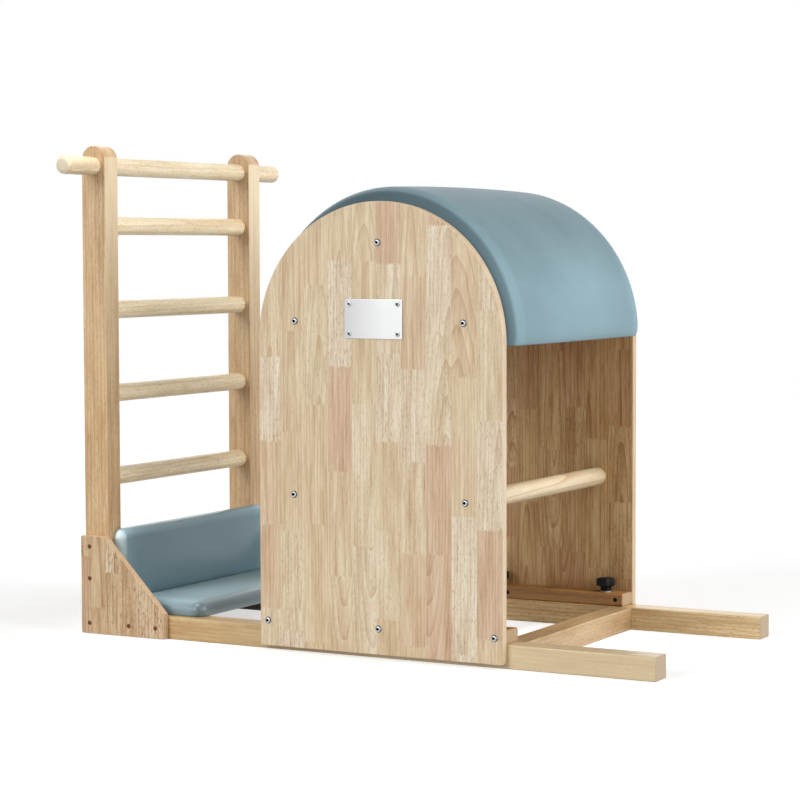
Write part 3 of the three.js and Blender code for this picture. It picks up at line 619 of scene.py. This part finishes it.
def drawn_outline(length, depth, corner, draw, steps=28):
    """A rounded rectangle whose sides curve in towards their middles by half a sine wave."""
    points, normals = rounded(rectangle((-length / 2, -depth / 2), (length / 2, depth / 2)), corner, 9, 0)
    points, normals = points.reshape(4, -1, 2), normals.reshape(4, -1, 2)
    share = np.linspace(0, 1, steps + 2)[1:-1, None]
    start, end = points[:, -1:], np.roll(points, -1, 0)[:, :1]
    sides = start + (end - start) * share - draw * np.sin(np.pi * share) * normals[:, -1:]
    return np.concatenate([points[:, 1:-1], sides], 1).reshape(-1, 2)


def cushion(length, depth, thickness, board):
    """Rings of a boxed cushion from its board up: down round the board and out over the cover's wrapped
    edge, up its side, round a quarter circle, and over a crown that rises as one minus the square of the
    share left to the middle. board is how thick the board is."""
    tuck = cushion_roll / 4
    side = thickness - cushion_crown - cushion_roll
    down = np.linspace(0, np.pi / 2, 4)
    turn = np.linspace(0, np.pi / 2, 11)
    share = np.linspace(0, 0.94, 12)[1:]
    flat = depth / 2 - cushion_roll
    inset = np.concatenate([[cover_wrap, cover_wrap], tuck * (1 - np.sin(down)),
                            cushion_roll * (1 - np.cos(turn)), cushion_roll + flat * share])
    height = np.concatenate([[board - 0.5 * mm, -cover_thickness], tuck * (1 - np.cos(down)) - cover_thickness,
                             side + cushion_roll * np.sin(turn),
                             side + cushion_roll + cushion_crown * (1 - (1 - share) ** 2)])
    draw = np.concatenate([[0, 0], cushion_draw * np.sin(down) / 2, cushion_draw * np.ones(len(turn)),
                           cushion_draw * (1 - share)])
    rings = []
    for step_in, level, drawn in zip(inset, height, draw):
        corner = max(cushion_corner - step_in, cushion_corner / 5)
        outline = drawn_outline(length - 2 * step_in, depth - 2 * step_in, corner, drawn)
        rings.append(np.column_stack([outline, np.full(len(outline), level)]))
    return np.array(rings)


for name, leather, order in (("seat", seat_leather, [1, 0, 2]), ("back", back_leather, [2, 0, 1])):
    low, high, middle = cad_box(name + "_cushion")
    board_low, board_high, _ = cad_box(name + "_board")
    depth_axis, up_axis = order.index(1), order.index(2)
    size, foot = high - low, middle.copy()
    foot[up_axis] = low[up_axis]
    rings = cushion(size[1], size[depth_axis], size[up_axis], (board_high - board_low)[up_axis])
    pad = piece(name + "_pad_covered", "base", leather, [skin(rings[..., order] + foot)],
                [name + "_cushion"], sharp=80)


# Seat batten: a strip of wood under the middle of the seat, from the rear cross rail to
# the seat's front edge. It is coloured nearly black, with the grain just showing: a stain, darkened into
# painted shade for the gap under the seat.
stained, place = new_finish("dark stained batten wood")
strip_grain = np.array([83.33, 2.381, 2.381]) * mm
drawn = add(stained, "VectorMath", {0: place, 1: 1 / strip_grain}, operation="MULTIPLY")
grain = add(stained, "TexNoise", {"Vector": drawn, "Scale": 1.0, "Detail": 3.0})
tint = add(stained, "ValToRGB", {"Fac": grain}, stops=((0.3, "#17110E"), (0.7, "#33261E")))
bump = add(stained, "Bump", {"Height": grain, "Strength": 0.4, "Distance": 0.2 * mm})
surface(stained, Base_Color=tint, Normal=bump, Roughness=0.55)
low, high, middle = cad_box("seat_batten")
section = rounded(rectangle(low[1:], high[1:]), timber_corner)
piece("seat_batten_stained", "base", stained,
      [skin(board(section, low[0], high[0], timber_ease, [2, 0, 1]))], ["seat_batten"])


# Barrel side panels: 18 mm laminated boards with half-round tops, one at each side of the barrel.
# All their edges are rounded over and lacquered with the faces.
panel_ease = 2.2 * mm
panel_outer = {}
# The left panel is tinted darker and browner all over: painted shade for its inner face, which sits in the
# barrel's shade.
for side, sign, seed, shade, depths, stops in (("right", -1, 11.0, "#FFFFFF", (0.38, 0.26), stave_tones),
                                               ("left", 1, 27.0, "#FAEBD2", (0.95, 0.45), bold_tones)):
    low, high, middle = cad_box(side + "_side_panel")
    panel_outer[side] = low[1] if sign < 0 else high[1]
    outline = arch(low[0], high[0], low[2], high[2], 4 * mm, 128)
    piece(side + "_side_panel_board", "barrel",
          laminate(side + " side panel", middle, seed, high[1] - middle[1], shade, "#C8B193", depths, stops,
                   54.5 * mm, 0.054),
          [skin(board(outline, low[1], high[1], panel_ease, [0, 2, 1]))], [side + "_side_panel"])


# Cleats and crossbars: rubberwood. Each cleat is screwed to the foot of a panel and rides on its rail,
# with a slot cut through at each end, and two round crossbars tie the panels together.
cleat_tones = tones("#7F5428", "#9B6C3A", "#AD7D45", "#BE9057")
for side, sign in (("right", -1), ("left", 1)):
    low, high, middle = cad_box(side + "_cleat")
    dress(side + "_cleat", rubberwood(side + " cleat", middle, along_x, (25 * sign, 19), (0.4, 0.3),
                                      cleat_tones, half_length=high[0] - middle[0], end_colour="#A88F6C"))
crossbar_tones = tones("#BDA580", "#CDBA97", "#D7C7A9", "#DFD6C2")
for end, pith in (("front", (12, -15)), ("rear", (-16, 11))):
    low, high, middle = cad_box(end + "_crossbar")
    own_figure = (middle[0], 0.4, middle[2])
    piece(end + "_crossbar_turned", "barrel",
          rubberwood(end + " crossbar", own_figure, along_y, pith, (1.4, 0.8), crossbar_tones, (1.0, 0.2)),
          [skin(turned(bar_profile(bar_radius, high[1], 3 * mm), middle, [0, 2, 1]))], [end + "_crossbar"])


# Sleeve nuts: blackened steel sleeves let into each cleat's inner face, one for each cleat screw.
# Only the rim and the dark socket of each show.
def hexagon(angle):
    """Share of the radius for each angle of a hexagon whose flats are 1 from its middle."""
    return 1 / np.cos(angle % (np.pi / 3) - np.pi / 6)


black_steel = plated_steel("blackened sleeve steel", "#2A2A2C", 1.25 * mm, 0.3, 0.5)
sleeve = [  # radius, height over the cleat's face, and how far the hexagon is worked in
    (2.0, -12, 0), (4.6, -12, 0), (4.6, -0.6, 0), (4.2, -0.2, 0), (3.4, -0.2, 0), (2.6, -0.3, 1),
    (2.5, -0.5, 1), (2.5, -6, 1), (0.6, -6, 1)]
cleat_screw_height = 60.55 * mm
for side, sign in (("right", -1), ("left", 1)):
    low, high, middle = cad_box(side + "_cleat")
    inner = high[1] if sign < 0 else low[1]
    places = [cad_box(f"{side}_cap_screw_{number}")[2][0] for number in (6, 7, 8)]
    skins = [skin(turned(np.array(sleeve) * [mm, -sign * mm, 1], (x, inner, cleat_screw_height), [0, 2, 1], 36,
                         hexagon)) for x in places]
    piece(side + "_sleeve_nuts", "barrel", black_steel, skins)


# Inside of the padded top: arched plywood formers, a bent plywood shell over them and two edge battens.
# They show only from below, where the shell's edge and the formers' faces are left unpainted.
drum_axis = (cad_box("right_side_panel")[2][0], 0, 623 * mm)


def from_drum_axis(finish, place):
    centred = add(finish, "Mapping", {"Vector": place, "Location": drum_axis}, vector_type="TEXTURE")
    flat = add(finish, "VectorMath", {0: centred, 1: (1, 0, 1)}, operation="MULTIPLY")
    return add(finish, "VectorMath", {0: flat}, operation="LENGTH")


former_ply = plywood("formers", one_axis(1))
for name in ("right", "middle", "left"):
    dress(name + "_former", former_ply)
dress("barrel_shell", plywood("bent shell", from_drum_axis))
for end in ("front", "rear"):
    low, high, middle = cad_box(end + "_edge_batten")
    dress(end + "_edge_batten", rubberwood(end + " edge batten", middle, along_y))


# Padded top: firm foam over the shell, under one sheet of the same leather cloth, pulled down over the
# ends and stapled inside. It fills the width between the panels and stands 28 mm above them.
shell_outer = 256.6 * mm
pad_half_width, pad_rise = 284 * mm, 298 * mm
pad_half = 301.7 * mm
pad_rolls = ((25 * mm, 19 * mm), (46 * mm, 32 * mm))
pad_forward = 5 * mm
pad_taper, pad_taper_depth = 30 * mm, 8 * mm
pad_crown, pad_drop, pad_tuck = 4.5 * mm, 7 * mm, 1.5 * mm


def drum_pad(stations=150):
    """Rings of the padded top, one cross-section for each station round the arch.

    The outside follows an ellipse, and stands a little further out ahead. Within one taper of a lower edge
    the pad gets thinner along a quarter ellipse. A section runs flat over the shell, up each end, round a
    quarter ellipse whose width and height are that end's roll, and over a crown that rises as one minus
    the square of the share of the half width."""
    drop = np.arcsin(pad_drop / pad_rise)
    sweep = np.pi + 2 * drop
    edge = pad_taper / pad_half_width
    close = edge * (1 - np.cos(np.linspace(0, np.pi / 2, 14)))
    angle = np.concatenate([close, np.linspace(edge, sweep - edge, stations)[1:-1], sweep - close[::-1]])
    from_edge = np.minimum(angle, sweep - angle) * pad_half_width
    angle = angle - drop
    reach = pad_half_width * pad_rise / np.hypot(pad_rise * np.cos(angle), pad_half_width * np.sin(angle))
    reach += pad_forward * np.cos(angle) ** 3
    lost = np.maximum(0, 1 - from_edge / pad_taper)
    thickness = reach - shell_outer - pad_taper_depth * (1 - np.sqrt(1 - lost ** 2))
    turn = np.linspace(0, np.pi / 2, 14)
    middle = np.linspace(1, 0, 22)[1:]
    halves = []
    for sign, (roll_across, roll_up) in zip((1, -1), pad_rolls):
        # half a section: places across, and up as so much of the roll's height and of the thickness
        roll = np.minimum(roll_up, thickness * 0.85)
        across = np.concatenate([[pad_half - pad_tuck, pad_half - 0.3 * pad_tuck], [pad_half],
                                 pad_half - roll_across * (1 - np.cos(turn)),
                                 (pad_half - roll_across) * middle])
        up_roll = np.concatenate([[0, 0], [-1.1], np.sin(turn) - 1, 0 * middle])
        up_thick = np.concatenate([[0, 0.06], [1], np.ones(14), 1 + 0 * middle])
        crown = pad_crown * (1 - (across / pad_half) ** 2) * up_thick * (np.arange(len(across)) > 3)
        up = thickness[:, None] * up_thick + roll[:, None] * up_roll + crown
        halves.append((sign * np.broadcast_to(across, up.shape), up))
    across, up = (np.concatenate([far, near[:, -2::-1]], 1) for far, near in zip(*halves))
    up = shell_outer + up
    angle = angle[:, None]
    return np.stack([up * np.cos(angle), across, up * np.sin(angle)], -1) + np.array(drum_axis)


def painted_light_on_drum_pad(finish, place):
    """Painted light and shade on the barrel's cover: its rolled ends are painted darker where the cloth turns
    down beside the panels, a painted highlight runs along the ridge, and its crown is painted darker as painted
    shade."""
    away = add(finish, "Math", {0: one_axis(1)(finish, place)}, operation="ABSOLUTE")
    share = add(finish, "MapRange", {"Value": away, "From Min": 255 * mm, "From Max": pad_half})
    ends = add(finish, "ValToRGB", {"Fac": share}, stops=tones(
        "#F2F2F2", "#FFFFFF", "#FFFFFF", "#C0C2C3", "#BBBDBF", places=(0.0, 0.22, 0.60, 0.75, 0.90)))
    crown = add(finish, "MapRange", {"Value": one_axis(2)(finish, place), "From Min": 0.72, "From Max": 0.92,
                                     "To Min": 1.0, "To Max": 0.69})
    return add(finish, "VectorMath", {0: ends, 1: crown}, operation="MULTIPLY")


# The barrel's cloth takes darker colours than the seat's: a shaded copy of the same leather.
barrel_pad = piece("barrel_pad_covered", "barrel",
                   leather_cloth("the barrel", ((0.30, "#829DA6"), (0.70, "#8AA5AE")), 0.10, 0.50, painted_light_on_drum_pad),
                   [skin(drum_pad())], ["barrel_cushion"], sharp=80)


# Cap screws: chrome-plated steel with domed heads and hexagon sockets, eight in each side panel.
# Chrome gives a hard mirror with a faint haze, and the socket and the foot of the dome are painted nearly
# black: painted shade.
def chrome_with_painted_shade(name, foot, top):
    """Chrome whose colour runs from nearly black at a head's foot and in its recess, as painted shade, to
    bright at its top. foot and top are distances from the barrel's middle plane."""
    finish, place = new_finish("chrome plated steel " + name)
    haze = add(finish, "TexNoise", {"Vector": place, "Scale": 1 / (2.381 * mm), "Detail": 2.0})
    gloss = add(finish, "MapRange", {"Value": haze, "To Min": 0.08, "To Max": 0.2})
    away = add(finish, "Math", {0: one_axis(1)(finish, place)}, operation="ABSOLUTE")
    share = add(finish, "MapRange", {"Value": away, "From Min": foot, "From Max": top})
    stops = tones("#16181B", "#6F7378", "#C6C9CD", places=(0.42, 0.60, 0.95))
    tint = add(finish, "ValToRGB", {"Fac": share}, stops=stops)
    return surface(finish, Base_Color=tint, Metallic=1.0, Roughness=gloss)


head_radius, head_height = 7 * mm, 3.5 * mm
chrome = chrome_with_painted_shade("cap screws", panel_outer["left"], panel_outer["left"] + head_height)
turn = np.linspace(0, 1, 9)
dome = np.stack([head_radius + (3.7 * mm - head_radius) * turn,
                 0.5 * mm + (head_height - 0.5 * mm) * np.sin(turn * np.pi / 2), 0 * turn], 1)
cap_head = np.concatenate([
    [[1.5 * mm, -44 * mm, 0], [3 * mm, -43 * mm, 0], [3 * mm, 0, 0], [head_radius - 0.2 * mm, 0, 0],
     [head_radius, 0.2 * mm, 0]], dome,
    [[3.2 * mm, head_height - 0.1 * mm, 1], [3.1 * mm, head_height - 0.3 * mm, 1], [3.1 * mm, 1 * mm, 1],
     [0.5 * mm, 0.8 * mm, 1]]])
for side, sign in (("right", -1), ("left", 1)):
    for number in range(1, 9):
        node = f"{side}_cap_screw_{number}"
        low, high, middle = cad_box(node)
        seat = (middle[0], panel_outer[side] + 0.3 * mm * sign, middle[2])
        rings = turned(cap_head * [1, sign, 1], seat, [0, 2, 1], 48, hexagon)
        piece(node + "_turned", "barrel", chrome, [skin(rings)], [node])


# Name plate: a bare stainless plate with rounded corners, brushed along its length, and held by four
# small cross-recessed screws. Brushing gives it fine lengthways lines and a soft, wide glare.
brush_pitch = 0.9 * mm
low, high, middle = cad_box("name_plate")
plate_steel, place = new_finish("brushed stainless plate")
along = add(plate_steel, "MapRange", {"Value": one_axis(0)(plate_steel, place), "From Min": low[0],
                                      "From Max": high[0]})
# The colour brightens along the plate's length: a painted reflection.
tint = add(plate_steel, "ValToRGB", {"Fac": along}, stops=((0.0, "#B3B3B3"), (0.7, "#CCCDCD")))
drawn = add(plate_steel, "VectorMath", {0: place, 1: (0.02, 1, 1)}, operation="MULTIPLY")
lines = add(plate_steel, "TexNoise", {"Vector": drawn, "Scale": 1 / brush_pitch, "Detail": 3.0})
gloss = add(plate_steel, "MapRange", {"Value": lines, "To Min": 0.26, "To Max": 0.42})
bump = add(plate_steel, "Bump", {"Height": lines, "Strength": 0.12, "Distance": 0.1 * mm})
surface(plate_steel, Base_Color=tint, Metallic=1.0, Roughness=gloss, Normal=bump)
outline = rounded(rectangle(low[[0, 2]], high[[0, 2]]), 3.2 * mm, 8)
piece("name_plate_blank", "barrel", plate_steel,
      [skin(board(outline, low[1], high[1], 0.35 * mm, [0, 2, 1]))], ["name_plate"])
plate_head = screw_head(5 * mm, 1.7 * mm, 3.9 * mm, 1.6 * mm, 0.6 * mm)
screw_reach = (53.5 * mm, 29 * mm)
places = [(middle[0] + u * screw_reach[0], low[1], middle[2] + v * screw_reach[1])
          for u in (-1, 1) for v in (-1, 1)]
skins = [skin(turned(plate_head * [1, -1, 1], spot, [0, 2, 1], 64,
                     lambda angle: cross_recess(0.26)(angle + 0.9))) for spot in places]
piece("name_plate_screws", "barrel",
      chrome_with_painted_shade("plate screws", -low[1] - 0.2 * mm, -low[1] + 1.3 * mm), skins)


# Clamp knobs: five-lobed heads of black nylon, moulded round a steel stud that screws into the rail.
# Moulded nylon is matt, with a fine spark-eroded grain. Each turns on a plain steel washer.
# The grain is drawn 0.9 mm wide.
nylon, place = new_finish("moulded black nylon")
grit = add(nylon, "TexNoise", {"Vector": place, "Scale": 1 / (0.909 * mm), "Detail": 2.0})
gloss = add(nylon, "MapRange", {"Value": grit, "To Min": 0.38, "To Max": 0.55})
bump = add(nylon, "Bump", {"Height": grit, "Strength": 0.2, "Distance": 0.1 * mm})
surface(nylon, Base_Color=paint("#080808"), Specular_IOR_Level=0.18, Roughness=gloss, Normal=bump)
washer_steel = plated_steel("zinc plated washer steel", "#C9CBCC", 1.111 * mm, 0.22, 0.4)


def lobes(angle):
    """Share of the radius for each angle of five lobes: full on a lobe, a fifth less between two, and
    the valleys narrower than the lobes."""
    return 1 - 0.2 * ((1 - np.cos(5 * angle)) / 2) ** 1.6


knob_profile = [  # radius, height above the washer, and how far the lobes are worked in
    (6, 0, 0), (10.6, 0, 0), (11.2, 0.4, 0), (11.5, 1.2, 0), (11.5, 7.0, 0), (12.2, 8.6, 0.1), (14.4, 9.8, 0.4),
    (17.6, 10.2, 0.8), (19.4, 10.6, 1), (20.3, 11.6, 1), (20.5, 12.8, 1), (20.5, 22.4, 1), (20.2, 24.0, 1),
    (19.3, 25.3, 1), (17.8, 26.1, 0.95), (14, 26.6, 0.7), (10, 26.8, 0.4), (7.4, 26.9, 0.1), (7.0, 26.4, 0),
    (6.6, 26.2, 0), (3, 26.2, 0)]
for end in ("front", "rear"):
    for side in ("right", "left"):
        low, high, middle = cad_box(f"washer_{end}_{side}")
        foot = high[2] + 0.3 * mm
        profile = np.array(knob_profile) * [mm, mm, 1]
        knob = f"knob_{end}_{side}"
        knob_body = f"clamp_knob_{end}_{side}"
        piece(knob + "_moulded", knob_body, nylon,
              [skin(turned(profile, (middle[0], middle[1], foot), [0, 1, 2], 80, lobes))], [knob])
        stud_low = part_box(knob)[0].z
        stud = [(2.8 * mm, stud_low - foot), (4 * mm, stud_low - foot + 1.2 * mm), (4 * mm, 2 * mm),
                (2 * mm, 2 * mm)]
        piece(knob + "_stud", knob_body, washer_steel,
              [skin(turned(stud, (middle[0], middle[1], foot), [0, 1, 2], 32))])
        outer, bore = (high[0] - low[0]) / 2, 4.5 * mm
        bottom, top, ease = low[2] - foot, high[2] - foot, 0.25 * mm
        ring = [(bore + ease, bottom), (outer - ease, bottom), (outer, bottom + ease), (outer, top - ease),
                (outer - ease, top), (bore + ease, top), (bore, top - ease), (bore, bottom + ease)]
        piece(f"washer_{end}_{side}_turned", f"turning_washer_{end}_{side}", washer_steel,
              [skin(turned(ring, (middle[0], middle[1], foot), [0, 1, 2], 64), closed=True)],
              [f"washer_{end}_{side}"])


# Studio: a pale floor, a broad soft light from the camera's side, a second one ahead of the barrel, a weak
# one from behind, and white light all round, dimmer overhead. The lens and the metal see a white room.
floor_size = 16.0
floor_paint, _ = new_finish("matt pale grey floor paint")
mesh = bpy.data.meshes.new("studio_floor")
corner = floor_size / 2
mesh.from_pydata([(-corner, -corner, 0), (corner, -corner, 0), (corner, corner, 0), (-corner, corner, 0)], [],
                 [(0, 1, 2, 3)])
mesh.materials.append(floor_paint)
floor = bpy.data.objects.new("studio_floor", mesh)
bpy.context.scene.collection.objects.link(floor)


def seen_directly(finish):
    """1 for a ray from the lens, or one mirrored or bent by a piece, and 0 for one that lights a surface."""
    path = add(finish, "LightPath").outputs
    mirrored = add(finish, "Math", {0: path["Is Glossy Ray"], 1: path["Is Transmission Ray"]},
                   operation="MAXIMUM")
    return add(finish, "Math", {0: path["Is Camera Ray"], 1: mirrored}, operation="MAXIMUM")


lift = add(floor_paint, "Math", {0: seen_directly(floor_paint), 1: 0.60}, operation="MULTIPLY")
surface(floor_paint, Base_Color=paint("#C8C8C8"), Roughness=0.95, Specular_IOR_Level=0.0,
        Emission_Color=(1, 1, 1, 1), Emission_Strength=lift)


def broad_light(name, towards, level, spread):
    """A sun lamp that spreads over so many degrees of sky, as a large softbox does. level is what it adds
    to a white surface that faces it."""
    lamp = bpy.data.lights.new(name, "SUN")
    lamp.energy, lamp.angle = math.pi * level, math.radians(spread)
    holder = bpy.data.objects.new(name, lamp)
    aim = Matrix.Translation(towards).to_translation()
    holder.matrix_world = aim.to_track_quat("Z", "Y").to_matrix().to_4x4()
    bpy.context.scene.collection.objects.link(holder)


broad_light("light_from_camera_side", (-0.28, -0.88, 0.38), 0.48, 30)
broad_light("light_ahead_of_barrel", (0.93, 0.05, 0.36), 0.84, 56)
broad_light("light_from_behind", (-0.6, 0.7, 0.3), 0.18, 50)


def small_light(name, target, towards, level, spread):
    """A small soft spot, 2.5 m from the place that it picks out. level is what it adds to a white surface
    there that faces it."""
    lamp = bpy.data.lights.new(name, "SPOT")
    lamp.energy, lamp.spot_size = 247 * level, math.radians(spread)
    lamp.spot_blend, lamp.shadow_soft_size = 1.0, 0.2
    holder = bpy.data.objects.new(name, lamp)
    aim = Matrix.Translation(towards).to_translation()
    holder.matrix_world = (Matrix.Translation(target) @ Matrix.Translation(aim * 2.5)
                           @ aim.to_track_quat("Z", "Y").to_matrix().to_4x4())
    bpy.context.scene.collection.objects.link(holder)


# They pick out the seat's near end from the gusset's shade, and the front cross rail from the panel's.
small_light("light_on_seat", (-0.46, -0.20, 0.08), (-0.1, -0.25, 0.96), 0.8, 12)
small_light("light_on_cross_rail", (0.31, 0.04, 0.05), (0.35, 0.0, 0.935), 0.8, 12)

world = bpy.data.worlds.new("white room")
world.use_nodes = True
world.node_tree.nodes.clear()
height = add(world, "SeparateXYZ", {0: add(world, "TexCoord").outputs["Generated"]}).outputs[2]
dim = add(world, "MapRange", {"Value": height, "To Min": 0.56, "To Max": 0.10})
level = add(world, "MapRange", {"Value": seen_directly(world), "To Min": dim, "To Max": 1.0})
room = add(world, "Background", {"Color": (1, 1, 1, 1), "Strength": level})
add(world, "OutputWorld", {"Surface": room})
bpy.context.scene.world = world
bpy.context.scene.view_settings.view_transform = "Standard"
